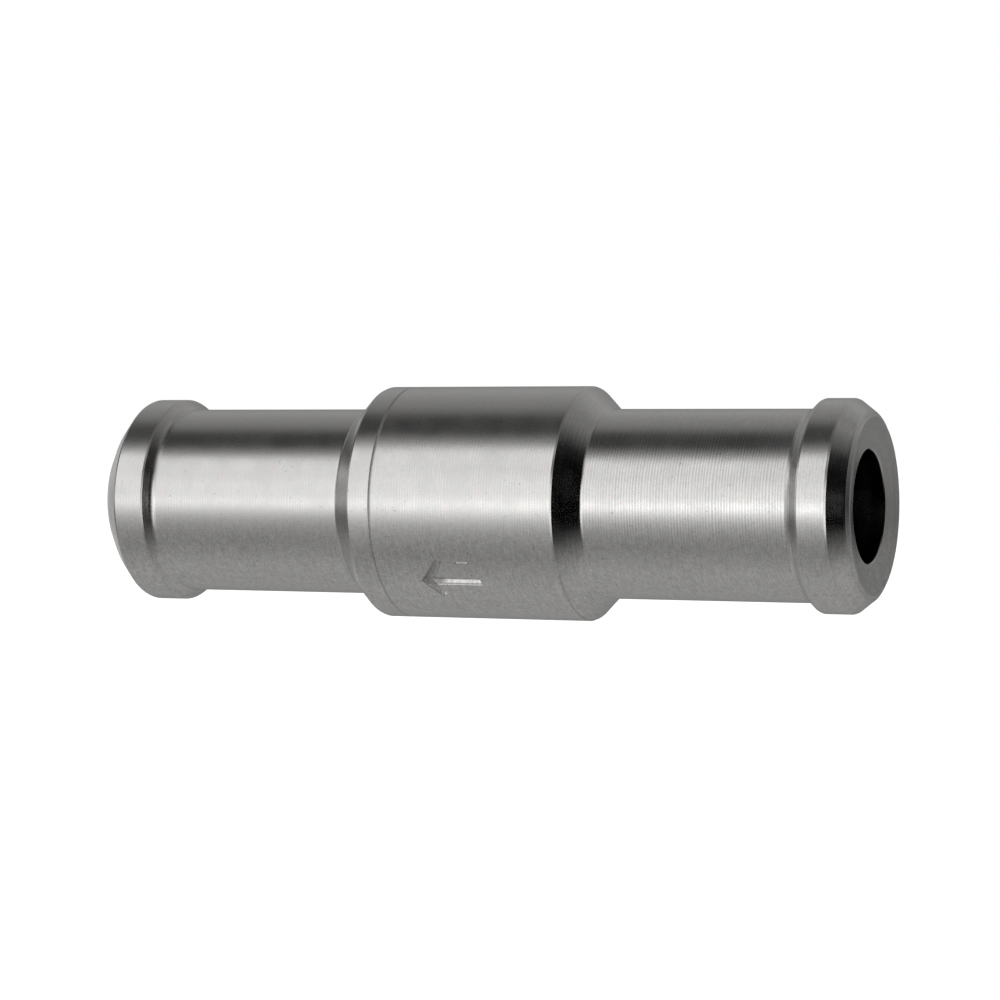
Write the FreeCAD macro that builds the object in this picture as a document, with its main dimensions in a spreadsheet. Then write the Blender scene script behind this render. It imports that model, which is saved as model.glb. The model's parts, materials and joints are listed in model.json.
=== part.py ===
import FreeCAD, Part
import math
import os
import re
import Sketcher

# Inline non-return valve for 12 mm hose, as a parametric document.
# X is the flow axis: the inlet is at +X, the outlet at -X, and +Z is up.
# The origin is on the axis, half way along the valve. Sizes are in millimetres.
# The formulas below measure along X from the middle of the barrel, and a reach is
# such a distance. The Placement of each body then moves it to the origin above.

SIZES = {
    # outside
    "tail_diameter": 12.0,
    "bead_diameter": 13.3,
    "bead_foot_radius": 0.5,
    "shoulder_foot_radius": 0.2,
    "bore_diameter": 7.0,
    "barrel_diameter": 14.9,
    "barrel_length": 13.8,
    "seam_distance": 5.37,
    "edge_break": 0.07,
    # inlet end
    "inlet_reach": 25.38,
    "inlet_face_diameter": 10.9,
    "inlet_face_dish": 0.4,
    "inlet_rim_reach": 25.15,
    "inlet_rim_diameter": 11.76,
    "inlet_land_reach": 24.15,
    "inlet_land_length": 1.83,
    "inlet_slope_length": 0.67,
    # outlet end
    "outlet_reach": 25.85,
    "outlet_face_diameter": 8.8,
    "outlet_rim_reach": 25.03,
    "outlet_rim_diameter": 11.18,
    "outlet_land_reach": 24.06,
    "outlet_land_length": 2.0,
    "outlet_slope_length": 0.45,
    # flow arrow stamped in the barrel
    "arrow_turn": 40.0,
    "arrow_tip_distance": 2.09,
    "arrow_tail_distance": 1.6,
    "arrow_arm_angle": 55.0,
    "arrow_upper_arm": 2.15,
    "arrow_lower_arm": 1.7,
    "arrow_stroke": 0.66,
    "arrow_depth": 0.28,
    "arrow_taper": 40.0,
    "dash_start": 0.1,
    "dash_length": 0.85,
    "dash_width": 0.14,
    "dash_rise": 1.34,
    "dash_depth": 0.24,
    # seat and chamber
    "seat_distance": 8.0,
    "chamber_diameter": 11.0,
    # screwed joint between body and cap
    "thread_diameter": 12.0,
    "thread_pitch": 0.75,
    "thread_height": 0.4,
    "thread_clearance": 0.05,
    "thread_flank_angle": 30.0,
    "thread_root_flat": 0.1,
    "thread_crest_flat": 0.12,
    "thread_overrun": 0.03,
    "thread_turns": 6.5,
    "spigot_length": 5.35,
    "gland_length": 1.5,
    "gland_inner_diameter": 11.0,
    "gland_outer_diameter": 13.0,
    "relief_diameter": 12.2,
    "relief_length": 0.8,
    "relief_gap": 0.15,
    "cap_ring_section": 0.96,
    # stem guide
    "guide_bore_diameter": 9.6,
    "guide_diameter": 9.5,
    "guide_seat_distance": 2.3,
    "guide_plate_thickness": 1.2,
    "guide_window_diameter": 8.6,
    "guide_flange_diameter": 5.9,
    "guide_window_angle": 100.0,
    "hub_diameter": 4.4,
    "hub_hole_diameter": 2.6,
    "hub_back_distance": 4.1,
    "throat_diameter": 8.0,
    "throat_distance": 7.6,
    # snap ring that holds the guide in the cap
    "snap_thickness": 0.5,
    "snap_outer_diameter": 10.15,
    "snap_inner_diameter": 8.7,
    "snap_gap": 3.0,
    "snap_groove_diameter": 10.2,
    "snap_play": 0.05,
    # poppet
    "travel": 2.5,
    "stop_gap": 0.05,
    "seal_mean_diameter": 7.7,
    "seal_section": 1.0,
    "seal_gap": 0.03,
    "seal_groove_diameter": 6.7,
    "head_diameter": 8.6,
    "head_thickness": 1.1,
    "lip_diameter": 7.4,
    "lip_length": 0.15,
    "nose_diameter": 6.0,
    "nose_length": 0.4,
    "pilot_diameter": 4.4,
    "pilot_length": 0.75,
    "stem_diameter": 2.5,
    "stem_hole_depth": 2.7,
    "stem_end_length": 0.4,
    "stem_chamfer": 0.2,
    "clip_thickness": 0.4,
    "clip_diameter": 4.6,
    "clip_hole_diameter": 1.74,
    "clip_slot": 1.3,
    "clip_relief_diameter": 0.9,
    "clip_play": 0.3,
    "clip_groove_diameter": 1.7,
    "clip_groove_play": 0.02,
    # return spring
    "spring_wire": 0.4,
    "spring_mean_diameter": 5.2,
    "spring_end_pitch": 0.42,
    "spring_end_gap": 0.02,
    "spring_turns": 4.0,
}

# Stations along X, from the middle of the barrel.
ORIGIN = "((inlet_reach - outlet_reach) / 2)"
INLET_MOUTH = "(inlet_reach - inlet_face_dish)"
OUTLET_MOUTH = "(-outlet_reach)"
SHOULDER_TOP = "(barrel_length / 2)"
SHOULDER_FOOT = f"({SHOULDER_TOP} + (barrel_diameter - tail_diameter) / 2)"
SEAM = "(-seam_distance)"
GLAND_END = f"({SEAM} + gland_length)"
SPIGOT_END = f"({SEAM} + spigot_length)"
RELIEF_START = f"({SPIGOT_END} + relief_gap)"
RELIEF_END = f"({RELIEF_START} + relief_length)"
CONE_START = "(seat_distance - (chamber_diameter - bore_diameter) / 2)"
GUIDE_SEAT = "(-guide_seat_distance)"
GUIDE_FACE = f"({GUIDE_SEAT} + guide_plate_thickness)"
HUB_BACK = "(-hub_back_distance)"
# The sealing ring stands off the 45 degree seat by the seal gap.
SEAL_CENTRE = ("(seat_distance + bore_diameter / 2 - seal_mean_diameter / 2"
               " - (seal_section / 2 + seal_gap) * sqrt(2))")
HEAD_BACK = f"({SEAL_CENTRE} - seal_section / 2 - head_thickness)"
PILOT_END = f"({HEAD_BACK} - pilot_length)"
HUB_FRONT = f"({PILOT_END} - travel - stop_gap)"
CLIP_BACK = f"({HUB_BACK} - clip_play - clip_thickness)"

doc = FreeCAD.newDocument("NonReturnValve")
sheet = doc.addObject("Spreadsheet::Sheet", "Sizes")
for row, (alias, value) in enumerate(SIZES.items(), 1):
    sheet.set(f"A{row}", alias)
    sheet.set(f"B{row}", str(value))
    sheet.setAlias(f"B{row}", alias)
doc.recompute()


def cells(text):
    """Spell the alias words of a formula as cells of the sheet."""
    return re.sub(r"\b(travel|[a-z]+(?:_[a-z]+)+)\b", r"Sizes.\1", text)


def value_of(text):
    return float(sheet.evalExpression(cells(text)))


def new_body(label, station="0"):
    """A body of its own, whose Placement puts it at a station on the flow axis."""
    body = doc.addObject("PartDesign::Body", label)
    body.Label = label
    body.setExpression("Placement.Base.x", cells(f"{station} - {ORIGIN}"))
    return body


def new_sketch(body, name, role):
    sketch = body.newObject("Sketcher::SketchObject", name)
    plane = next(item for item in body.Origin.OriginFeatures if item.Role == role)
    sketch.AttachmentSupport = [(plane, "")]
    sketch.MapMode = "FlatFace"
    return sketch


def pin_point(sketch, geometry, point, across, up):
    """Hold one point of a sketch at two formulas, measured from the origin."""
    for kind, text, axis in (("DistanceX", across, -2), ("DistanceY", up, -1)):
        size = value_of(text)
        if abs(size) < 1e-9:
            sketch.addConstraint(Sketcher.Constraint("PointOnObject", geometry, point, axis))
            continue
        held = Sketcher.Constraint(kind, -1, 1, geometry, point, size)
        index = sketch.addConstraint(held)
        sketch.setExpression(f"Constraints[{index}]", cells(text))


def draw_outline(sketch, corners):
    """Draw a closed outline of straight lines through corners given as formulas."""
    spots = [FreeCAD.Vector(value_of(a), value_of(b), 0) for a, b in corners]
    count = len(spots)
    for i in range(count):
        sketch.addGeometry(Part.LineSegment(spots[i], spots[(i + 1) % count]), False)
    for i in range(count):
        sketch.addConstraint(Sketcher.Constraint("Coincident", i, 2, (i + 1) % count, 1))
    for i, (across, up) in enumerate(corners):
        pin_point(sketch, i, 1, across, up)


def draw_circle(sketch, diameter, across="0", up="0"):
    middle = FreeCAD.Vector(value_of(across), value_of(up), 0)
    circle = Part.Circle(middle, FreeCAD.Vector(0, 0, 1), value_of(diameter) / 2)
    item = sketch.addGeometry(circle, False)
    pin_point(sketch, item, 3, across, up)
    held = Sketcher.Constraint("Diameter", item, value_of(diameter))
    index = sketch.addConstraint(held)
    sketch.setExpression(f"Constraints[{index}]", cells(diameter))


def turn(body, name, corners):
    """Turn an outline of (station, radius) formulas about the flow axis."""
    sketch = new_sketch(body, name + "_outline", "XZ_Plane")
    draw_outline(sketch, corners)
    revolve(body, name, sketch)


def revolve(body, name, sketch):
    feature = body.newObject("PartDesign::Revolution", name)
    feature.Profile = sketch
    feature.ReferenceAxis = (sketch, ["H_Axis"])
    feature.Angle = 360
    doc.recompute()


def turn_ring(label, station, mean_diameter, section):
    """A seal ring: a round section turned about the flow axis."""
    body = new_body(label, station)
    sketch = new_sketch(body, label + "_section", "XZ_Plane")
    draw_circle(sketch, section, up=mean_diameter + " / 2")
    revolve(body, label + "_turn", sketch)
    return body


def extrude(body, name, kind, sketch, length=None):
    """Pad or pocket a sketch; a pocket with no length goes right through."""
    feature = body.newObject("PartDesign::" + kind, name)
    feature.Profile = sketch
    if length is None:
        feature.Type = "ThroughAll"
        feature.Midplane = True
    else:
        feature.setExpression("Length", cells(length))
    doc.recompute()
    return feature


def repeat_round(body, name, feature, count):
    """Repeat a feature evenly about the flow axis."""
    pattern = body.newObject("PartDesign::PolarPattern", name)
    pattern.Originals = [feature]
    axis = next(item for item in body.Origin.OriginFeatures if item.Role == "X_Axis")
    pattern.Axis = (axis, [""])
    pattern.Angle = 360
    pattern.Occurrences = count
    body.Tip = pattern
    doc.recompute()
    return pattern


def round_edges(shape, rings):
    """Names of the round edges at the given (station, radius) pairs."""
    wanted = [(value_of(x), value_of(r)) for x, r in rings]
    names = []
    for number, edge in enumerate(shape.Edges, 1):
        curve = edge.Curve
        if not isinstance(curve, Part.Circle):
            continue
        for station, radius in wanted:
            if abs(curve.Center.x - station) < 1e-4 and abs(curve.Radius - radius) < 1e-4:
                names.append(f"Edge{number}")
    return names


def work_edges(body, name, kind, rings, size):
    """Chamfer or fillet round edges to a size of the sheet."""
    base = body.Tip
    feature = body.newObject("PartDesign::" + kind, name)
    feature.Base = (base, round_edges(base.Shape, rings))
    feature.setExpression("Size" if kind == "Chamfer" else "Radius", cells(size))
    doc.recompute()


def cut_thread(body, name, start, profile):
    """Cut a helical groove whose section is given from its start station."""
    sketch = new_sketch(body, name + "_section", "XZ_Plane")
    draw_outline(sketch, [(f"{start} + {x}", r) for x, r in profile])
    helix = body.newObject("PartDesign::SubtractiveHelix", name)
    helix.Profile = sketch
    helix.ReferenceAxis = (sketch, ["H_Axis"])
    helix.Mode = 0
    helix.Angle = 0
    helix.setExpression("Pitch", cells("thread_pitch"))
    helix.setExpression("Height", cells("thread_pitch * thread_turns"))
    doc.recompute()


def tail_outline(end):
    """Outside of the inlet or outlet hose tail, from its end face to the barrel."""
    side = 1 if end == "inlet" else -1
    land_end = f"({end}_land_reach - {end}_land_length)"
    corners = [
        (f"{end}_reach", f"{end}_face_diameter / 2"),
        (f"{end}_rim_reach", f"{end}_rim_diameter / 2"),
        (f"{end}_land_reach", "bead_diameter / 2"),
        (land_end, "bead_diameter / 2"),
        (f"({land_end} - {end}_slope_length)", "tail_diameter / 2"),
        (SHOULDER_FOOT, "tail_diameter / 2"),
        (SHOULDER_TOP, "barrel_diameter / 2"),
    ]
    return [(f"{side} * {x}", r) for x, r in corners]


def finish_tail(body, end, mouth):
    """Fillet the two inside corners, and break the outside edges and the mouth of the bore."""
    face, rim, land, land_end, foot, shoulder_foot, shoulder = tail_outline(end)
    work_edges(body, "bead_foot", "Fillet", [foot], "bead_foot_radius")
    work_edges(body, "shoulder_foot", "Fillet", [shoulder_foot], "shoulder_foot_radius")
    bore = (mouth, "bore_diameter / 2")
    seam = (SEAM, "barrel_diameter / 2")
    sharp = [face, rim, land, land_end, shoulder, bore, seam]
    work_edges(body, "broken_edges", "Chamfer", sharp, "edge_break")


def make_valve_body():
    body = new_body("valve_body")
    bore = "bore_diameter / 2"
    chamber = "chamber_diameter / 2"
    minor = "(thread_diameter / 2 - thread_height)"
    gland = "gland_outer_diameter / 2"
    barrel = "barrel_diameter / 2"
    turn(body, "body_turning", tail_outline("inlet") + [
        (SEAM, barrel),
        (SEAM, gland),
        (GLAND_END, gland),
        (GLAND_END, minor),
        (RELIEF_START, minor),
        (RELIEF_START, "relief_diameter / 2"),
        (RELIEF_END, "relief_diameter / 2"),
        (RELIEF_END, chamber),
        (CONE_START, chamber),
        ("seat_distance", bore),
        (INLET_MOUTH, bore),
    ])
    finish_tail(body, "inlet", INLET_MOUTH)
    # Female thread: the groove is narrow at the root and wide at the minor diameter.
    root = "(thread_root_flat / 2)"
    mouth = f"({root} + tan(thread_flank_angle) * (thread_height + thread_overrun))"
    cut_thread(body, "female_thread", f"({GLAND_END} - thread_pitch)", [
        (mouth, f"{minor} - thread_overrun"),
        (f"-{mouth}", f"{minor} - thread_overrun"),
        (f"-{root}", "thread_diameter / 2"),
        (root, "thread_diameter / 2"),
    ])
    stamp_arrow(body)
    return body


def stamp_sketch(body, name):
    """A sketch on the plane that touches the barrel where the arrow is stamped."""
    sketch = new_sketch(body, name, "XZ_Plane")
    radius = "barrel_diameter / 2"
    sketch.AttachmentOffset = FreeCAD.Placement(
        FreeCAD.Vector(0, 0, 0), FreeCAD.Rotation(FreeCAD.Vector(1, 0, 0), 1))
    for place, text in (
        ("Rotation.Angle", "arrow_turn"),
        ("Base.y", f"-{radius} * sin(arrow_turn)"),
        ("Base.z", f"{radius} * cos(arrow_turn)"),
    ):
        sketch.setExpression(f"AttachmentOffset.{place}", cells(text))
    doc.recompute()
    return sketch


def stamp_arrow(body):
    """Stamp a flow arrow into the barrel, and the short dash of the stamp's second strike."""
    # The arms run back from the tip, and their ends are square to their own length.
    tip = "(-arrow_tip_distance)"
    half = "arrow_stroke / 2"
    slope = "arrow_arm_angle"
    # Where the inner edge of an arm meets the edge of the shaft.
    inner = f"({tip} + {half} * (1 + cos({slope})) / sin({slope}))"

    def arm(name):
        """The tail end of the shaft, then the corners of one arm, above the shaft."""
        along, across = f"{name} * cos({slope})", f"{name} * sin({slope})"
        return [
            ("arrow_tail_distance", half),
            (inner, half),
            (f"{tip} + {along} + {half} * sin({slope})", f"({across} - {half} * cos({slope}))"),
            (f"{tip} + {along} - {half} * sin({slope})", f"({across} + {half} * cos({slope}))"),
        ]

    point = [(f"{tip} - {half} / sin({slope})", "0")]
    lower = [(x, f"-{y}") for x, y in reversed(arm("arrow_lower_arm"))]
    outline = stamp_sketch(body, "arrow_outline")
    draw_outline(outline, arm("arrow_upper_arm") + point + lower)
    arrow = extrude(body, "arrow", "Pocket", outline, "arrow_depth")
    arrow.setExpression("TaperAngle", cells("-arrow_taper"))
    dash_end = "dash_start + dash_length"
    dash_top = "dash_rise + dash_width"
    strike = stamp_sketch(body, "dash_outline")
    draw_outline(strike, [("dash_start", "dash_rise"), (dash_end, "dash_rise"),
                          (dash_end, dash_top), ("dash_start", dash_top)])
    extrude(body, "dash", "Pocket", strike, "dash_depth")


def make_outlet_cap():
    body = new_body("outlet_cap")
    bore = "bore_diameter / 2"
    throat = "throat_diameter / 2"
    gland = "gland_inner_diameter / 2"
    major = "(thread_diameter / 2 - thread_clearance)"
    seat = "guide_bore_diameter / 2"
    groove = "snap_groove_diameter / 2"
    groove_end = f"{GUIDE_FACE} + snap_thickness + snap_play"
    throat_end = "-throat_distance + (throat_diameter - bore_diameter) / 2"
    turn(body, "cap_turning", tail_outline("outlet") + [
        (SEAM, "barrel_diameter / 2"),
        (SEAM, gland),
        (GLAND_END, gland),
        (GLAND_END, major),
        (SPIGOT_END, major),
        (SPIGOT_END, seat),
        (groove_end, seat),
        (groove_end, groove),
        (GUIDE_FACE, groove),
        (GUIDE_FACE, seat),
        (GUIDE_SEAT, seat),
        (GUIDE_SEAT, throat),
        (throat_end, throat),
        ("-throat_distance", bore),
        (OUTLET_MOUTH, bore),
    ])
    finish_tail(body, "outlet", OUTLET_MOUTH)
    # Male thread: its ridges stand in the middle of the female grooves.
    crest = "((thread_pitch - thread_crest_flat) / 2)"
    depth = "(thread_height + thread_overrun)"
    mouth = f"({crest} + tan(thread_flank_angle) * thread_overrun)"
    root = f"({crest} - tan(thread_flank_angle) * {depth})"
    cut_thread(body, "male_thread", f"({GLAND_END} - thread_pitch / 2)", [
        (mouth, f"{major} + thread_overrun"),
        (f"-{mouth}", f"{major} + thread_overrun"),
        (f"-{root}", f"{major} - {depth}"),
        (root, f"{major} - {depth}"),
    ])
    return body


def make_stem_guide():
    """A spider that carries the stem: plate with three windows, and a long hub."""
    body = new_body("stem_guide")
    hub = "hub_diameter / 2"
    hole = "hub_hole_diameter / 2"
    turn(body, "guide_turning", [
        (HUB_BACK, hole),
        (HUB_BACK, hub),
        (GUIDE_SEAT, hub),
        (GUIDE_SEAT, "guide_diameter / 2"),
        (GUIDE_FACE, "guide_diameter / 2"),
        (GUIDE_FACE, hub),
        (HUB_FRONT, hub),
        (HUB_FRONT, hole),
    ])
    sketch = new_sketch(body, "window_outline", "YZ_Plane")
    draw_window(sketch)
    window = extrude(body, "window", "Pocket", sketch)
    repeat_round(body, "windows", window, 3)
    return body


def draw_window(sketch):
    """A ring sector across the +Z axis, closed by two radial lines."""
    half_angle = math.radians(value_of("guide_window_angle / 2"))
    low, high = math.pi / 2 - half_angle, math.pi / 2 + half_angle
    centre, normal = FreeCAD.Vector(0, 0, 0), FreeCAD.Vector(0, 0, 1)
    rim, root = (Part.ArcOfCircle(Part.Circle(centre, normal, value_of(size) / 2), low, high)
                 for size in ("guide_window_diameter", "guide_flange_diameter"))
    left = Part.LineSegment(rim.EndPoint, root.EndPoint)
    right = Part.LineSegment(root.StartPoint, rim.StartPoint)
    rim_id, left_id, root_id, right_id = sketch.addGeometry([rim, left, root, right], False)
    start, end, middle = 1, 2, 3
    for constraint in (
        ("Coincident", rim_id, end, left_id, start),
        ("Coincident", left_id, end, root_id, end),
        ("Coincident", root_id, start, right_id, start),
        ("Coincident", right_id, end, rim_id, start),
        ("Coincident", rim_id, middle, -1, 1),
        ("Coincident", root_id, middle, -1, 1),
        ("PointOnObject", -1, 1, left_id),
        ("Symmetric", rim_id, start, rim_id, end, -2),
        ("Symmetric", root_id, start, root_id, end, -2),
    ):
        sketch.addConstraint(Sketcher.Constraint(*constraint))
    for item, size in ((rim_id, "guide_window_diameter"), (root_id, "guide_flange_diameter")):
        index = sketch.addConstraint(Sketcher.Constraint("Diameter", item, value_of(size)))
        sketch.setExpression(f"Constraints[{index}]", cells(size))
    index = sketch.addConstraint(Sketcher.Constraint("Angle", rim_id, high - low))
    sketch.setExpression(f"Constraints[{index}]", cells("guide_window_angle * 1 deg"))


def make_snap_ring():
    body = new_body("guide_snap_ring", GUIDE_FACE)
    sketch = new_sketch(body, "snap_outline", "YZ_Plane")
    draw_circle(sketch, "snap_outer_diameter")
    draw_circle(sketch, "snap_inner_diameter")
    extrude(body, "snap_blank", "Pad", sketch, "snap_thickness")
    gap = new_sketch(body, "snap_gap_outline", "YZ_Plane")
    draw_outline(gap, [
        ("-snap_gap / 2", "-snap_outer_diameter"),
        ("snap_gap / 2", "-snap_outer_diameter"),
        ("snap_gap / 2", "0"),
        ("-snap_gap / 2", "0"),
    ])
    extrude(body, "snap_opening", "Pocket", gap)
    return body


def make_poppet_head():
    """The head, from the pilot that centres the spring to its nose."""
    body = new_body("poppet_head", SEAL_CENTRE)
    ring = "seal_section / 2"
    back = f"(-{ring} - head_thickness)"
    lip_end = f"({ring} + lip_length)"
    nose = f"({lip_end} + nose_length)"
    hole_end = f"({back} - pilot_length + stem_hole_depth)"
    stem = "stem_diameter / 2"
    turn(body, "head_turning", [
        (hole_end, "0"),
        (hole_end, stem),
        (f"{back} - pilot_length", stem),
        (f"{back} - pilot_length", "pilot_diameter / 2"),
        (back, "pilot_diameter / 2"),
        (back, "head_diameter / 2"),
        (f"-{ring}", "head_diameter / 2"),
        (f"-{ring}", "seal_groove_diameter / 2"),
        (ring, "seal_groove_diameter / 2"),
        (ring, "lip_diameter / 2"),
        (lip_end, "lip_diameter / 2"),
        (nose, "nose_diameter / 2"),
        (nose, "0"),
    ])
    return body


def make_poppet_stem():
    body = new_body("poppet_stem")
    radius = "stem_diameter / 2"
    root = "clip_groove_diameter / 2"
    front = f"({PILOT_END} + stem_hole_depth)"
    end = f"({CLIP_BACK} - stem_end_length)"
    groove_back = f"{CLIP_BACK} - clip_groove_play"
    groove_front = f"{CLIP_BACK} + clip_thickness + clip_groove_play"
    turn(body, "stem_turning", [
        (front, "0"),
        (front, radius),
        (groove_front, radius),
        (groove_front, root),
        (groove_back, root),
        (groove_back, radius),
        (f"{end} + stem_chamfer", radius),
        (end, f"{radius} - stem_chamfer"),
        (end, "0"),
    ])
    return body


def make_stem_clip():
    """An E-clip: a disc with a central hole, a side slot and two relief notches."""
    body = new_body("stem_clip", CLIP_BACK)
    sketch = new_sketch(body, "clip_outline", "YZ_Plane")
    draw_circle(sketch, "clip_diameter")
    draw_circle(sketch, "clip_hole_diameter")
    extrude(body, "clip_blank", "Pad", sketch, "clip_thickness")
    slot = new_sketch(body, "clip_slot_outline", "YZ_Plane")
    draw_outline(slot, [
        ("-clip_slot / 2", "-clip_diameter"),
        ("clip_slot / 2", "-clip_diameter"),
        ("clip_slot / 2", "0"),
        ("-clip_slot / 2", "0"),
    ])
    extrude(body, "clip_slot_cut", "Pocket", slot)
    notches = new_sketch(body, "clip_notch_outline", "YZ_Plane")
    for side in (-1, 1):
        draw_circle(notches, "clip_relief_diameter",
                    f"{side} * clip_hole_diameter / 2", "clip_relief_diameter / 2")
    extrude(body, "clip_notches", "Pocket", notches)
    return body


def make_return_spring():
    """A compression spring: one closed turn, the open turns, one closed turn."""
    wire = "spring_wire / 2"
    start = f"({GUIDE_FACE} + {wire} + spring_end_gap)"
    length = f"({HEAD_BACK} - {wire} - spring_end_gap - {start})"
    body = new_body("return_spring", start)
    open_pitch = f"(({length} - 2 * spring_end_pitch) / spring_turns)"
    coils = [
        ("closed_turn", "0", "spring_end_pitch", "1"),
        ("open_turns", "spring_end_pitch", open_pitch, "spring_turns"),
        ("last_turn", f"{length} - spring_end_pitch", "spring_end_pitch", "1"),
    ]
    for name, station, pitch, turns in coils:
        sketch = new_sketch(body, name + "_section", "XZ_Plane")
        draw_circle(sketch, "spring_wire", station, "spring_mean_diameter / 2")
        helix = body.newObject("PartDesign::AdditiveHelix", name)
        helix.Profile = sketch
        helix.ReferenceAxis = (sketch, ["H_Axis"])
        helix.Mode = 0
        helix.Angle = 0
        helix.setExpression("Pitch", cells(pitch))
        helix.setExpression("Height", cells(f"{pitch} * {turns}"))
        doc.recompute()
    return body


parts = [
    make_valve_body(),
    make_outlet_cap(),
    turn_ring("cap_o_ring", f"({SEAM} + gland_length / 2)",
              "(gland_inner_diameter + gland_outer_diameter) / 2", "cap_ring_section"),
    make_stem_guide(),
    make_snap_ring(),
    make_poppet_head(),
    make_poppet_stem(),
    turn_ring("poppet_o_ring", SEAL_CENTRE, "seal_mean_diameter", "seal_section"),
    make_stem_clip(),
    make_return_spring(),
]
doc.recompute()

for item in doc.Objects:
    if "Invalid" in item.State or "Error" in item.State:
        raise RuntimeError(f"{item.Label} did not compute: {item.State}")
for body in parts:
    if body.Shape.isNull() or not body.Shape.isValid() or len(body.Shape.Solids) != 1:
        raise RuntimeError(f"{body.Label} is not one valid solid")

os.makedirs("parts", exist_ok=True)
for body in parts:
    body.Shape.exportStep(f"parts/{body.Label}.step")
    box = body.Shape.BoundBox
    print(f"{body.Label}: {body.Shape.Volume:.2f} mm3, x {box.XMin:.3f} to {box.XMax:.3f}")
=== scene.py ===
import json
import math

import bmesh
import bpy
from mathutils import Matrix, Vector


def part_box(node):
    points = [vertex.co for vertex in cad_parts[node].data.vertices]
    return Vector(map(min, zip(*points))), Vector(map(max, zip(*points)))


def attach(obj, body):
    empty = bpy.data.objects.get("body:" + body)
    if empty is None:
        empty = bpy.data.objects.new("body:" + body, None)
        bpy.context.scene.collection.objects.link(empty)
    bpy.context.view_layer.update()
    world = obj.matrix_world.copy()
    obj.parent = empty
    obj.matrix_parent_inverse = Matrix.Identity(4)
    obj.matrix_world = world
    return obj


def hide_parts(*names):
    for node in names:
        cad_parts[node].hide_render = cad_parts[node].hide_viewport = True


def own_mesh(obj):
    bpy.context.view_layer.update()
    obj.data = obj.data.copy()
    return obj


MM = 0.001

# The lathe's feed leaves one fine ring this far along the axis at each turn.
FEED = 0.19 * MM
BARREL_RADIUS = 7.45 * MM

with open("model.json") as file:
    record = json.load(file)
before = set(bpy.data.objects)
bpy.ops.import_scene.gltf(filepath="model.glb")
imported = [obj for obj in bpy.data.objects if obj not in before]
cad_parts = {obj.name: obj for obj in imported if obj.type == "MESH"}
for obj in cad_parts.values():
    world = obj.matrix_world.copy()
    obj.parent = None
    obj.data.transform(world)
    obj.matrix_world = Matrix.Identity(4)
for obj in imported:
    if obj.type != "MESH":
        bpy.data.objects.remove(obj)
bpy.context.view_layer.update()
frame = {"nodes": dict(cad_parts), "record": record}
BORE_RADIUS = frame["record"]["mounts"][2]["dims"]["r_mm"] * MM


# ---------------------------------------------------------------- node helpers

def add(tree, kind, **settings):
    """Add a shader node; keyword settings are its properties."""
    node = tree.nodes.new(kind)
    for name, value in settings.items():
        setattr(node, name, value)
    return node


def feed(tree, socket, value):
    """Set a socket to a number, or link it to another node's output."""
    if isinstance(value, (int, float)):
        socket.default_value = value
    else:
        tree.links.new(value, socket)


def maths(tree, operation, first, second=0.0):
    """A maths node whose inputs are numbers or other nodes' outputs."""
    node = add(tree, "ShaderNodeMath", operation=operation)
    feed(tree, node.inputs[0], first)
    feed(tree, node.inputs[1], second)
    return node.outputs[0]


def total(tree, *terms):
    """The sum of (weight, value) terms, with each value taken about its middle, 0.5."""
    result = 1.0
    for weight, value in terms:
        centred = maths(tree, "SUBTRACT", value, 0.5)
        result = maths(tree, "ADD", maths(tree, "MULTIPLY", centred, weight), result)
    return result


def span(tree, value, start, end, low=0.0, high=1.0):
    """Go smoothly from low, where the value is start, to high, where it is end."""
    node = add(tree, "ShaderNodeMapRange", interpolation_type="SMOOTHSTEP")
    feed(tree, node.inputs["Value"], value)
    limits = {"From Min": start, "From Max": end, "To Min": low, "To Max": high}
    for socket, number in limits.items():
        node.inputs[socket].default_value = number
    return node.outputs[0]


def ramp(tree, value, *stops):
    """A colour ramp through (position, colour) stops; one number stands for a grey."""
    node = add(tree, "ShaderNodeValToRGB")
    band = node.color_ramp
    band.elements[0].position, band.elements[1].position = stops[0][0], stops[-1][0]
    for position, _ in stops[1:-1]:
        band.elements.new(position)
    for element, (_, colour) in zip(band.elements, stops):
        element.color = (*colour, 1) if isinstance(colour, tuple) else (colour, colour, colour, 1)
    tree.links.new(value, node.inputs["Fac"])
    return node.outputs["Color"]


def noise(tree, place, grain, detail=2.0, roughness=0.5):
    """Noise whose grains have the given size, in metres, or sizes along X, Y and Z."""
    sizes = grain if isinstance(grain, tuple) else (grain,) * 3
    mapping = add(tree, "ShaderNodeMapping")
    mapping.inputs["Scale"].default_value = [1 / size for size in sizes]
    tree.links.new(place, mapping.inputs["Vector"])
    node = add(tree, "ShaderNodeTexNoise")
    node.inputs["Scale"].default_value = 1.0
    node.inputs["Detail"].default_value = detail
    node.inputs["Roughness"].default_value = roughness
    tree.links.new(mapping.outputs[0], node.inputs["Vector"])
    return node.outputs["Fac"]


def new_material(name, base_color, metallic, roughness, **sockets):
    """A principled material, its tree, shader and object coordinates."""
    material = bpy.data.materials.new(name)
    material.use_nodes = True
    tree = material.node_tree
    shader = tree.nodes["Principled BSDF"]
    shader.inputs["Base Color"].default_value = (*base_color, 1)
    shader.inputs["Metallic"].default_value = metallic
    shader.inputs["Roughness"].default_value = roughness
    for socket, value in sockets.items():
        shader.inputs[socket.replace("_", " ")].default_value = value
    coordinates = add(tree, "ShaderNodeTexCoord").outputs["Object"]
    return material, tree, shader, coordinates


def vectors(tree, operation, first, second=None):
    """A vector maths node; the second input is another node's output or a constant vector."""
    node = add(tree, "ShaderNodeVectorMath", operation=operation)
    tree.links.new(first, node.inputs[0])
    if isinstance(second, (tuple, Vector)):
        node.inputs[1].default_value = second
    elif second is not None:
        tree.links.new(second, node.inputs[1])
    return node


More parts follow.
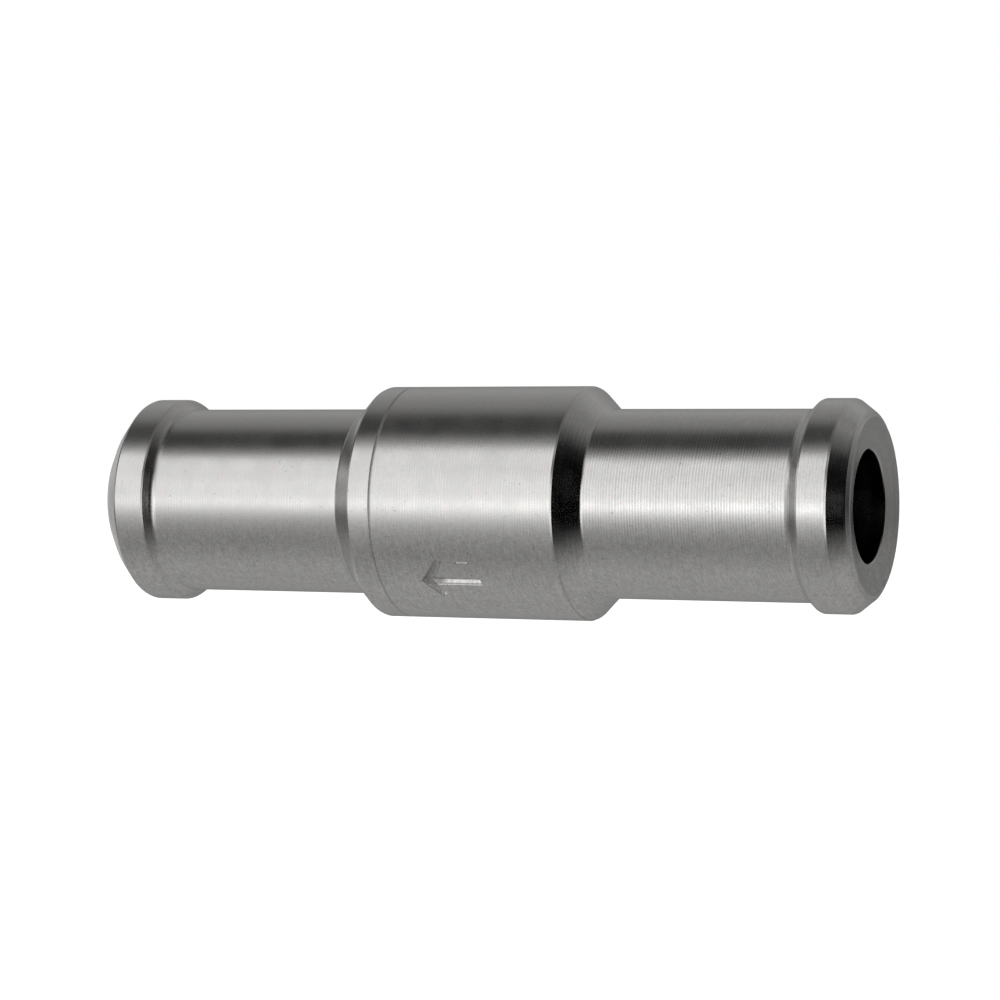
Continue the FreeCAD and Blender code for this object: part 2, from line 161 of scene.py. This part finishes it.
def scaled(tree, vector, factor):
    """A vector times a number that another node puts out."""
    node = vectors(tree, "SCALE", vector)
    tree.links.new(factor, node.inputs["Scale"])
    return node.outputs[0]


def parts_of(tree, vector):
    """The X, Y and Z outputs of a vector."""
    node = add(tree, "ShaderNodeSeparateXYZ")
    tree.links.new(vector, node.inputs[0])
    return node.outputs


def bump(tree, shader, height, distance):
    """Raise the shader's surface by a height, and return the bump node."""
    node = add(tree, "ShaderNodeBump")
    node.inputs["Distance"].default_value = distance
    tree.links.new(height, node.inputs["Height"])
    tree.links.new(node.outputs["Normal"], shader.inputs["Normal"])
    return node


def paint(node_name, material):
    """Give a CAD node its material."""
    mesh = frame["nodes"][node_name].data
    mesh.materials.clear()
    mesh.materials.append(material)


# ------------------------------------------------------------------- materials

# How the turned surfaces change along X: (millimetres, value) stops. The coned faces
# were cut with a form tool, so they are glossier than the cylinders beside them. The
# broken edges at the seam are dull. "underside" is how much stronger the grain is below.
BODY_FINISH = {
    "rings": ((0.0, 0.30), (7.2, 0.40), (10.7, 1.25), (21.2, 1.20), (22.7, 0.32), (25.0, 0.32)),
    "grain": ((0.0, 0.28), (7.2, 0.28), (10.7, 0.50), (25.0, 0.50)),
    "underside": ((0.0, 4.8), (7.2, 4.2), (10.7, 2.3), (25.0, 2.3)),
    "roughness": ((-5.2, 0.55), (-5.05, 0.55), (-5.03, 0.26), (6.9, 0.26), (7.2, 0.17),
                  (8.5, 0.17), (8.7, 0.26), (24.2, 0.26), (24.5, 0.19), (25.6, 0.19)),
}
CAP_FINISH = {
    "rings": ((-25.0, 0.16), (0.0, 0.16)),
    "grain": ((-25.0, 0.16), (0.0, 0.20)),
    "underside": ((-25.0, 8.0), (0.0, 6.0)),
    "roughness": ((-25.0, 0.26), (-8.4, 0.26), (-8.1, 0.19), (-6.9, 0.19), (-6.6, 0.26),
                  (-5.24, 0.26), (-5.22, 0.55), (-5.1, 0.55)),
}
# The trim is the poppet's head and stem.
TRIM_FINISH = {
    "rings": ((-25.0, 0.30), (25.0, 0.30)),
    "grain": ((-25.0, 0.40), (25.0, 0.40)),
    "underside": ((-25.0, 1.0), (25.0, 1.0)),
    "roughness": ((-25.0, 0.26), (25.0, 0.26)),
}
# How far the rings wander, as a phase, and the size of the patches where that changes.
DRIFT, DRIFT_PATCH = 9.0, 0.9 * MM
RING_PATCHES = (0.5 * MM, 1.6 * MM, 1.6 * MM)
# The sizes of the grain, from short scratches round the axis to wide clouds.
SCRATCHES = (0.08 * MM, 0.9 * MM, 0.9 * MM)
GRAIN, PITS, MOTTLE, TARNISH, CLOUD = 0.11 * MM, 0.16 * MM, 0.35 * MM, 0.45 * MM, 1.8 * MM
# The rings' painted light and shade lines are strong only between these heights, where the light
# falls, and fade outside them. Below the last two a grain takes over.
RING_SHADING_BELOW, RING_SHADING_ABOVE = (-3.0 * MM, -0.8 * MM), (5.2 * MM, 4.0 * MM)
UNDERSIDE = (-0.5 * MM, -2.5 * MM)
# How strongly the rings' painted light and shade lines change the tone, how high the marks stand,
# and how dark the painted shade in the bore is.
RING_SHADING_TONE, MARK_HEIGHT, BORE_SHADE_TONE = 0.42, 0.0025 * MM, 0.10
# A mesh seam turns the normal aside round the X axis by less than the first sine. A normal
# that is turned by more than the second is a real shape, and is left alone.
SEAM_SLIP, SLIP_FADE = 0.08, 0.12

# The stamp adds this much roughness. The bottom of the arrow's shaft and the short dash
# above it are bright again. The lower arm, which was struck lightly, is duller, and painted
# light makes its colour paler, lifting the shade in its groove.
STAMP_DULLNESS, SHAFT_SHINE, LOWER_ARM_PAINTED_LIGHT, LOWER_ARM_DULLNESS = 0.40, 0.38, 0.30, 0.25
# The depths where the stamp's wall and bottom begin, its greatest depth, and then the X of
# the arrow's head and the heights of its lower arm and the dash, each as the fade's two ends.
STAMP_WALL, STAMP_BOTTOM, STAMP_LIMIT = (0.01 * MM, 0.04 * MM), (0.07 * MM, 0.13 * MM), 0.40 * MM
ARROW_HEAD = (-0.6 * MM, -1.0 * MM)
LOWER_ARM, DASH = (-4.85 * MM, -5.15 * MM), (-4.4 * MM, -4.2 * MM)


def by_station(tree, station, stops):
    """A value that changes along X through (millimetres, value) stops."""
    first, last = stops[0][0], stops[-1][0]
    beyond = maths(tree, "SUBTRACT", station, first * MM)
    share = maths(tree, "DIVIDE", beyond, (last - first) * MM)
    return ramp(tree, share, *(((place - first) / (last - first), value) for place, value in stops))


def feed_rings(tree, place, station, strength):
    """Tool marks round the X axis, from 0 to 1, stronger and weaker in patches."""
    along = add(tree, "ShaderNodeCombineXYZ")
    tree.links.new(station, along.inputs["X"])
    drift = noise(tree, along.outputs[0], DRIFT_PATCH)
    turns = maths(tree, "MULTIPLY", station, 2 * math.pi / FEED)
    wave = maths(tree, "SINE", maths(tree, "ADD", turns, maths(tree, "MULTIPLY", drift, DRIFT)))
    patches = noise(tree, place, RING_PATCHES)
    swing = maths(tree, "MULTIPLY", wave, maths(tree, "MULTIPLY", patches, strength))
    return maths(tree, "ADD", maths(tree, "MULTIPLY", swing, 0.5), 0.5)


def turned_metal(name, base, finish, paint_bore_shade=False, stamped=False):
    """Lathe-turned steel: feed rings, a satin grain across them, cloudy patches and pits, with
    painted shade in the bore and painted light on the stamp when asked.
    """
    material, tree, shader, place = new_material(
        name, (base, base, base), 1.0, 0.26, Anisotropic=0.75, Anisotropic_Rotation=0.25)
    tangent = add(tree, "ShaderNodeTangent", direction_type="RADIAL", axis="X")
    tree.links.new(tangent.outputs[0], shader.inputs["Tangent"])

    station = parts_of(tree, place)["X"]
    rings = feed_rings(tree, place, station, by_station(tree, station, finish["rings"]))
    scratches = noise(tree, place, SCRATCHES)
    grain = noise(tree, place, GRAIN, roughness=0.6)
    cloud = noise(tree, place, CLOUD, detail=3.0)
    marks = total(tree, (2.0, rings), (0.9, scratches), (0.8, grain))
    relief = bump(tree, shader, marks, MARK_HEIGHT)
    tree.links.new(turned_normal(tree, place), relief.inputs["Normal"])

    tone = turned_tone(tree, place, finish, rings, scratches, grain, cloud)
    # Painted shade: the colour is darkened inside the bore, where shade falls.
    if paint_bore_shade:
        tone = maths(tree, "MULTIPLY", tone, painted_bore_shade(tree, place))
    dull = maths(tree, "ADD", by_station(tree, station, finish["roughness"]),
                 span(tree, cloud, 0.3, 0.7, -0.03, 0.04))
    # The stamp changes the roughness, and paints light on its lower arm.
    if stamped:
        tone, dull = stamp_finish(tree, place, tone, dull)

    tarnish = noise(tree, place, TARNISH, detail=1.0)
    tint = ramp(tree, tarnish, (0.35, (base * 1.028, base * 0.992, base * 0.976)),
                (0.65, (base * 0.998, base * 1.008, base * 0.984)))
    tree.links.new(scaled(tree, tint, tone), shader.inputs["Base Color"])
    feed(tree, shader.inputs["Roughness"], dull)
    return material


def turned_tone(tree, place, finish, rings, scratches, grain, cloud):
    """How light the metal is, about 1: rings painted as light and shade lines in the lit band,
    grain, stronger below it, and pits.
    """
    where = parts_of(tree, place)
    station, height = where["X"], where["Z"]
    mottle = noise(tree, place, MOTTLE)
    # Painted light and shade: the rings' tone lines are kept to the band of heights where the light
    # falls.
    lit_band = maths(tree, "MULTIPLY", span(tree, height, *RING_SHADING_BELOW, low=0.2),
                   span(tree, height, *RING_SHADING_ABOVE, low=0.2))
    ring_shading_share = maths(tree, "MULTIPLY", lit_band, RING_SHADING_TONE)
    below = span(tree, height, *UNDERSIDE)
    extra = maths(tree, "SUBTRACT", by_station(tree, station, finish["underside"]), 1.0)
    grain_share = maths(tree, "MULTIPLY", by_station(tree, station, finish["grain"]),
                        maths(tree, "ADD", maths(tree, "MULTIPLY", below, extra), 1.0))
    fine = total(tree, (0.6, grain), (0.35, scratches), (0.3, mottle))
    fine = maths(tree, "MULTIPLY", maths(tree, "SUBTRACT", fine, 1.0), grain_share)
    tone = maths(tree, "ADD", total(tree, (ring_shading_share, rings), (0.08, cloud)), fine)
    pits = span(tree, noise(tree, place, PITS, detail=1.0), 0.80, 0.74, low=0.45)
    return maths(tree, "MULTIPLY", tone, pits)


def stamp_finish(tree, place, tone, dull):
    """The tone and roughness, changed where the arrow is stamped into the barrel; the lower arm's
    colour gets painted light.
    """
    where = parts_of(tree, place)
    depth = maths(tree, "SUBTRACT", BARREL_RADIUS, from_axis(tree, place))
    sunk = maths(tree, "MULTIPLY", span(tree, depth, *STAMP_WALL),
                 maths(tree, "LESS_THAN", depth, STAMP_LIMIT))
    head = span(tree, where["X"], *ARROW_HEAD)
    lower = maths(tree, "MULTIPLY", head, span(tree, where["Z"], *LOWER_ARM))
    dash = span(tree, where["Z"], *DASH)
    bright = maths(tree, "MULTIPLY", maths(tree, "SUBTRACT", 1.0, head),
                   maths(tree, "MAXIMUM", dash, span(tree, depth, *STAMP_BOTTOM)))

    extra = maths(tree, "ADD", STAMP_DULLNESS, maths(tree, "MULTIPLY", lower, LOWER_ARM_DULLNESS))
    extra = maths(tree, "SUBTRACT", extra, maths(tree, "MULTIPLY", bright, SHAFT_SHINE))
    # Painted light: the sunk lower arm's colour is made paler, lifting the shade in its groove.
    painted_light = maths(tree, "MULTIPLY", maths(tree, "MULTIPLY", sunk, lower), LOWER_ARM_PAINTED_LIGHT)
    return (maths(tree, "MULTIPLY", tone, maths(tree, "ADD", painted_light, 1.0)),
            maths(tree, "ADD", dull, maths(tree, "MULTIPLY", sunk, extra)))


def turned_normal(tree, place):
    """The normal without any small slip round the X axis, so that a mesh seam doesn't show."""
    normal = add(tree, "ShaderNodeTexCoord").outputs["Normal"]
    where = parts_of(tree, place)
    around = add(tree, "ShaderNodeCombineXYZ")
    tree.links.new(maths(tree, "MULTIPLY", where["Z"], -1.0), around.inputs["Y"])
    tree.links.new(where["Y"], around.inputs["Z"])
    around = vectors(tree, "NORMALIZE", around.outputs[0]).outputs[0]
    slip = vectors(tree, "DOT_PRODUCT", normal, around).outputs["Value"]
    share = span(tree, maths(tree, "ABSOLUTE", slip), SLIP_FADE, SEAM_SLIP)
    excess = scaled(tree, around, maths(tree, "MULTIPLY", slip, share))
    upright = vectors(tree, "SUBTRACT", normal, excess).outputs[0]
    turn = add(tree, "ShaderNodeVectorTransform", vector_type="NORMAL",
               convert_from="OBJECT", convert_to="WORLD")
    tree.links.new(vectors(tree, "NORMALIZE", upright).outputs[0], turn.inputs[0])
    return turn.outputs[0]


def from_axis(tree, place):
    """Distance from the flow axis."""
    across = vectors(tree, "MULTIPLY", place, (0, 1, 1)).outputs[0]
    return vectors(tree, "LENGTH", across).outputs["Value"]


def painted_bore_shade(tree, place):
    """1 outside the bore, and low in the drilled bore: painted shade, where the bore is in shade.
    """
    inside, outside = BORE_RADIUS + 0.01 * MM, BORE_RADIUS + 0.05 * MM
    return span(tree, from_axis(tree, place), inside, outside, low=BORE_SHADE_TONE)


def rubber():
    """Black nitrile: matt, with the faint bloom that mould release leaves."""
    material, tree, shader, place = new_material("seal_rubber", (0.03, 0.03, 0.032), 0.0, 0.5)
    fine = noise(tree, place, 0.11 * MM, detail=3.0)
    tree.links.new(ramp(tree, fine, (0.3, 0.022), (0.7, 0.042)), shader.inputs["Base Color"])
    tree.links.new(ramp(tree, fine, (0.3, 0.42), (0.7, 0.62)), shader.inputs["Roughness"])
    bump(tree, shader, fine, 0.006 * MM)
    return material


def acetal():
    """White machined plastic, a little translucent, with fine turning rings."""
    material, tree, shader, place = new_material("guide_acetal", (0.86, 0.85, 0.81), 0.0, 0.38)
    shader.inputs["Subsurface Weight"].default_value = 0.12
    shader.inputs["Subsurface Radius"].default_value = (0.4 * MM, 0.35 * MM, 0.3 * MM)
    rings = noise(tree, place, (0.17 * MM, 6.5 * MM, 6.5 * MM))
    tree.links.new(ramp(tree, rings, (0.3, (0.83, 0.82, 0.78)), (0.7, (0.88, 0.87, 0.83))),
                   shader.inputs["Base Color"])
    tree.links.new(ramp(tree, rings, (0.3, 0.32), (0.7, 0.46)), shader.inputs["Roughness"])
    bump(tree, shader, rings, 0.003 * MM)
    return material


def bright_steel(name, grain, tones, gloss):
    """Stamped or drawn steel: two tones of grey and a roughness that follow one fine grain."""
    material, tree, shader, place = new_material(name, (tones[0],) * 3, 1.0, gloss[0])
    fine = noise(tree, place, grain * MM, detail=3.0)
    tree.links.new(ramp(tree, fine, (0.3, tones[0]), (0.7, tones[1])), shader.inputs["Base Color"])
    tree.links.new(ramp(tree, fine, (0.3, gloss[0]), (0.7, gloss[1])), shader.inputs["Roughness"])
    bump(tree, shader, fine, 0.003 * MM)
    return material


TRIM_METAL = turned_metal("turned_trim", 0.68, TRIM_FINISH)
RUBBER = rubber()
RING_STEEL = bright_steel("ring_steel", 0.20, (0.40, 0.52), (0.24, 0.40))
SPRING_STEEL = bright_steel("spring_wire", 0.28, (0.52, 0.64), (0.16, 0.32))

# The body and the cap are given painted shade in their bores.
for node_name, material in (
    ("valve_body", turned_metal("turned_body", 0.66, BODY_FINISH, paint_bore_shade=True, stamped=True)),
    ("outlet_cap", turned_metal("turned_cap", 0.66, CAP_FINISH, paint_bore_shade=True)),
    ("poppet_head", TRIM_METAL),
    ("poppet_stem", TRIM_METAL),
    ("cap_o_ring", RUBBER),
    ("poppet_o_ring", RUBBER),
    ("stem_guide", acetal()),
    ("guide_snap_ring", RING_STEEL),
    ("stem_clip", RING_STEEL),
):
    paint(node_name, material)


# --------------------------------------------------------------- return spring

WIRE_RADIUS = 0.2 * MM
COIL_RADIUS = 2.6 * MM
CLOSED_PITCH = 0.42 * MM
OPEN_TURNS = 4.0
RING_POINTS = 16
POINTS_PER_TURN = 64
# The wheel that grinds the end turns flat takes this much off the wire.
GROUND = 0.06 * MM


def spring_station(turn, start, end):
    """How far along X the wire's middle is after so many turns: closed, open, closed."""
    rise = (end - start - 2 * CLOSED_PITCH) / OPEN_TURNS
    opened = min(max(turn - 1, 0), OPEN_TURNS)
    closed = min(turn, 1) + max(turn - 1 - OPEN_TURNS, 0)
    return start + opened * rise + closed * CLOSED_PITCH


def return_spring():
    """Sweep the wire round the coil, with both end turns closed and ground flat."""
    low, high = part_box("return_spring")
    seat, head = low[0], high[0]
    start, end = seat + WIRE_RADIUS, head - WIRE_RADIUS
    mesh = bmesh.new()
    count = int((OPEN_TURNS + 2) * POINTS_PER_TURN)
    rings = []
    for step in range(count + 1):
        turn = step / POINTS_PER_TURN
        middle = spring_station(turn, start, end)
        angle = 2 * math.pi * turn
        outward = Vector((0, math.sin(angle), math.cos(angle)))
        ring = []
        for point in range(RING_POINTS):
            round_wire = 2 * math.pi * point / RING_POINTS
            place = outward * (COIL_RADIUS + WIRE_RADIUS * math.cos(round_wire))
            place.x = middle + WIRE_RADIUS * math.sin(round_wire)
            place.x = min(max(place.x, seat + GROUND), head - GROUND)
            ring.append(mesh.verts.new(place))
        rings.append(ring)
    for first, second in zip(rings, rings[1:]):
        for point in range(RING_POINTS):
            after = (point + 1) % RING_POINTS
            mesh.faces.new((first[point], first[after], second[after], second[point]))
    mesh.faces.new(reversed(rings[0]))
    mesh.faces.new(rings[-1])
    bmesh.ops.recalc_face_normals(mesh, faces=mesh.faces)
    data = bpy.data.meshes.new("return_spring_wire")
    mesh.to_mesh(data)
    mesh.free()
    data.shade_smooth()
    data.materials.append(SPRING_STEEL)
    spring = bpy.data.objects.new("return_spring_wire", data)
    bpy.context.scene.collection.objects.link(spring)
    return spring


spring = return_spring()
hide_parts("return_spring")
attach(spring, "housing")
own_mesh(spring)


# ---------------------------------------------------------- floor, light, camera

FLOOR_LEVEL = -60 * MM
FLOOR_SIZE = 12.0
FLOOR_GLOW = 0.85


def pale_floor():
    """A plain white floor that glows a little, and doesn't show in the metal."""
    bpy.ops.mesh.primitive_plane_add(size=FLOOR_SIZE, location=(0, 0, FLOOR_LEVEL))
    plane = bpy.context.object
    plane.name = "floor"
    material, _, shader, _ = new_material("floor", (0.94, 0.94, 0.94), 0.0, 0.9)
    shader.inputs["Emission Color"].default_value = (1, 1, 1, 1)
    shader.inputs["Emission Strength"].default_value = FLOOR_GLOW
    plane.data.materials.append(material)
    plane.visible_glossy = False
    return plane


pale_floor()


def soft_box(name, toward, distance, width, height, power):
    """An area light on the given side of the valve, turned to face it."""
    data = bpy.data.lights.new(name, "AREA")
    data.shape = "RECTANGLE"
    data.size = width
    data.size_y = height
    data.energy = power
    light = bpy.data.objects.new(name, data)
    bpy.context.scene.collection.objects.link(light)
    direction = Vector(toward).normalized()
    light.location = direction * distance
    light.rotation_euler = direction.to_track_quat("Z", "Y").to_euler()
    return light


# Brightness of the room in rings about the flow axis: degrees up from the front, level.
ROOM = (
    (-180, 0.19), (-140, 0.36), (-90, 0.41), (-52, 0.29), (-40, 0.34), (-30, 0.42),
    (-20, 0.61), (-10, 1.12), (0, 1.47), (8, 1.44), (20, 1.30), (34, 1.09), (53, 1.09),
    (61, 0.38), (73, 0.06), (92, 0.05), (108, 0.24), (145, 0.38), (180, 0.19),
)
# A bright strip along the horizon: its height in degrees, half width and strength, and the
# X of the directions between which each of its ends fades.
STRIP_HEIGHT, STRIP_HALF_WIDTH, STRIP_LEVEL = -2, 10, 0.75
STRIP_LEFT, STRIP_RIGHT = (-0.52, -0.28), (0.15, -0.15)
# A black panel on the right and a grey one on the left soak up the room's light. The
# share they take comes first. Then come the direction of the middle, the angles where
# the panel starts to fade and ends, and how much wider than high it is.
PANELS = (
    (1.0, ((0.84, -0.53, 0.13), 32, 84, 1.5)),
    (0.62, ((-0.93, -0.35, 0.0), 20, 53, 1.8)),
)
# The lamps, brightness first: beside the front, overhead, and behind on the left.
LAMPS = (
    (1.2, ((0.28, -0.95, -0.02), 8, 22, 0.5)),
    (0.14, ((0.45, 0.0, 0.9), 12, 27, 1.0)),
    (0.42, ((-0.80, 0.60, -0.03), 10, 22, 1.0)),
)


def nearness(tree, toward, middle, inner, outer, width):
    """1 within the inner angle of a middle direction, and 0 beyond the outer angle."""
    shape = Vector((1, 1, width))
    stretched = vectors(tree, "MULTIPLY", toward, shape).outputs[0]
    unit = vectors(tree, "NORMALIZE", stretched).outputs[0]
    cosine = vectors(tree, "DOT_PRODUCT", unit, (Vector(middle) * shape).normalized())
    angle = maths(tree, "ARCCOSINE", cosine.outputs["Value"])
    return span(tree, angle, math.radians(outer), math.radians(inner))


def world_light():
    """The brightness of the room in each direction, as nodes of a new world."""
    world = bpy.data.worlds.new("studio")
    world.use_nodes = True
    tree = world.node_tree
    tree.nodes.clear()
    toward = add(tree, "ShaderNodeTexCoord").outputs["Generated"]
    way = parts_of(tree, toward)
    front = maths(tree, "MULTIPLY", way["Y"], -1.0)
    height = maths(tree, "ARCTAN2", way["Z"], front)

    brightest = max(level for _, level in ROOM)
    share = maths(tree, "ADD", maths(tree, "DIVIDE", height, 2 * math.pi), 0.5)
    rings = ramp(tree, share, *((angle / 360 + 0.5, level / brightest) for angle, level in ROOM))
    rings = maths(tree, "MULTIPLY", rings, brightest)

    off = maths(tree, "ABSOLUTE", maths(tree, "SUBTRACT", height, math.radians(STRIP_HEIGHT)))
    strip = span(tree, off, math.radians(STRIP_HALF_WIDTH), 0.0, 0.0, STRIP_LEVEL)
    strip = maths(tree, "MULTIPLY", strip, span(tree, way["X"], *STRIP_LEFT))
    strip = maths(tree, "MULTIPLY", strip, span(tree, way["X"], *STRIP_RIGHT))

    light = maths(tree, "ADD", rings, strip)
    for share_taken, panel in PANELS:
        shade = maths(tree, "MULTIPLY", nearness(tree, toward, *panel), share_taken)
        light = maths(tree, "MULTIPLY", light, maths(tree, "SUBTRACT", 1.0, shade))
    for level, lamp in LAMPS:
        glow = maths(tree, "MULTIPLY", nearness(tree, toward, *lamp), level)
        light = maths(tree, "ADD", light, glow)
    return world, tree, light


def studio_world():
    """Plain white to the camera; the studio's light to everything else."""
    world, tree, light = world_light()
    seen = add(tree, "ShaderNodeLightPath").outputs["Is Camera Ray"]
    plain = add(tree, "ShaderNodeBackground")
    plain.inputs["Color"].default_value = (1, 1, 1, 1)
    studio = add(tree, "ShaderNodeBackground")
    studio.inputs["Color"].default_value = (1, 1, 1, 1)
    tree.links.new(light, studio.inputs["Strength"])
    mix = add(tree, "ShaderNodeMixShader")
    output = add(tree, "ShaderNodeOutputWorld")
    tree.links.new(seen, mix.inputs[0])
    tree.links.new(studio.outputs[0], mix.inputs[1])
    tree.links.new(plain.outputs[0], mix.inputs[2])
    tree.links.new(mix.outputs[0], output.inputs["Surface"])
    bpy.context.scene.world = world


studio_world()
# The key light stands to the front and left. It doesn't show in the metal, because its glow
# is in the room's own brightness.
key = soft_box("key_light", toward=(-0.42, -0.83, 0.36), distance=0.9,
               width=0.9, height=0.95, power=3.0)
key.visible_glossy = False

bpy.context.scene.view_settings.view_transform = "Standard"


# A long lens, turned to the inlet's end of the valve and a little above it.
CAMERA_TURN, CAMERA_RISE = math.radians(22.78), math.radians(1.39)
CAMERA_DISTANCE = 206.1 * MM
CAMERA_TARGET = Vector((0.695 * MM, 0, 0.170 * MM))
LENS_MM, SENSOR_MM = 115.59, 36
NEAREST = 5 * MM


def aim_camera():
    """Make the scene's camera, and point it at the valve."""
    level = math.cos(CAMERA_RISE)
    back = Vector((math.sin(CAMERA_TURN) * level, -math.cos(CAMERA_TURN) * level,
                   math.sin(CAMERA_RISE)))
    data = bpy.data.cameras.new("camera")
    data.lens = LENS_MM
    data.sensor_width = SENSOR_MM
    data.clip_start = NEAREST
    camera = bpy.data.objects.new("camera", data)
    bpy.context.scene.collection.objects.link(camera)
    camera.location = CAMERA_TARGET + back * CAMERA_DISTANCE
    camera.rotation_euler = back.to_track_quat("Z", "Y").to_euler()
    bpy.context.scene.camera = camera


aim_camera()
